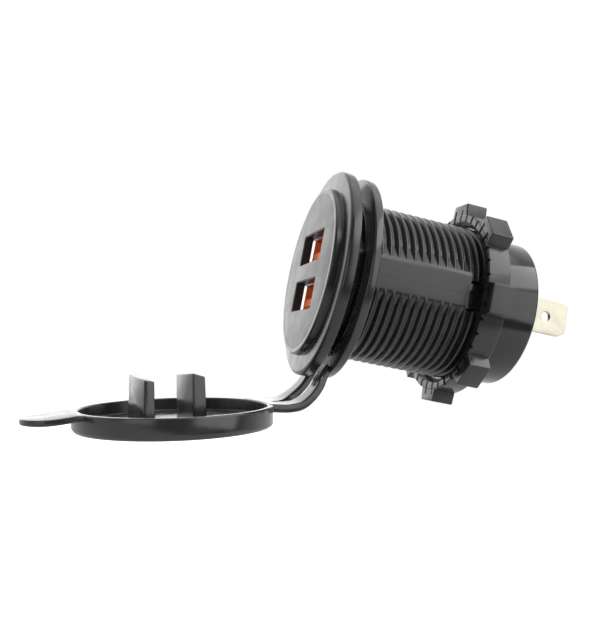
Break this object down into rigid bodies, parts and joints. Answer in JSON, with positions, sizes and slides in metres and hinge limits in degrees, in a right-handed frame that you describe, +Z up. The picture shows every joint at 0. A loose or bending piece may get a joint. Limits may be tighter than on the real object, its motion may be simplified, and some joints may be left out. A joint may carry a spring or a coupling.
{
  "type": "panel mount dual usb socket",
  "caption": "Round panel-mount USB power socket: flanged threaded barrel with ring nut, two ports, blade terminals and a hinged rubber cover.",
  "frame": {"origin": "on the barrel's axis, in the rear plane of the flange where it meets the panel", "axes": "+Y along the barrel from the face to the terminals, +Z up across the ports, +X along the ports' width"},
  "size_m": [0.041, 0.0913, 0.0549],
  "materials": {
    "moulded_black": "satin moulded",
    "face_black": "fine satin",
    "plated_steel": "nickel plated",
    "insulator_orange": "satin moulded",
    "contact_gold": "gold flashed",
    "capacitor_can": "satin",
    "chip_epoxy": "moulded epoxy",
    "cover_rubber": "matte moulded",
    "ferrite": "matte sintered",
    "winding_copper": "enamelled copper wire",
    "board_green": "solder mask",
    "rear_cap_black": "gloss moulded",
    "tinned_brass": "tin plated"
  },
  "bodies": {
    "socket": {"threaded_barrel": "moulded_black", "face_plate": "face_black", "usb_shell_upper": "plated_steel", "usb_shell_lower": "plated_steel", "usb_insulator_upper": "insulator_orange", "usb_insulator_lower": "insulator_orange", "board_pin_1": "contact_gold", "board_pin_2": "contact_gold", "board_pin_3": "contact_gold", "board_pin_4": "contact_gold", "capacitor_left": "capacitor_can", "capacitor_right": "capacitor_can", "controller_chip": "chip_epoxy", "cover_ring": "cover_rubber", "cover_strap": "cover_rubber", "inductor_core": "ferrite", "inductor_winding": "winding_copper", "port_board": "board_green", "power_board": "board_green", "rear_cap": "rear_cap_black", "spade_negative": "tinned_brass", "spade_positive": "tinned_brass", "usb_contact_lower_1": "contact_gold", "usb_contact_lower_2": "contact_gold", "usb_contact_lower_3": "contact_gold", "usb_contact_lower_4": "contact_gold", "usb_contact_upper_1": "contact_gold", "usb_contact_upper_2": "contact_gold", "usb_contact_upper_3": "contact_gold", "usb_contact_upper_4": "contact_gold"},
    "nut": {"ring_nut": "moulded_black"},
    "cover": {"cover_cap": "cover_rubber"}
  },
  "joints": [
    {"name": "nut_travel", "type": "slide", "parent": "socket", "child": "nut", "axis": [0, 1, 0], "range_m": [-0.0195, 0.003]},
    {"name": "cover_hinge", "type": "hinge", "parent": "socket", "child": "cover", "pos_m": [0, -0.00141, -0.02262], "axis": [0.9922, 0.0912, 0.085], "range_deg": [-102.8, 25], "stiffness_Nm_per_rad": 0.003, "springref_deg": 20.05, "deforming": ["cover_strap"]}
  ]
}
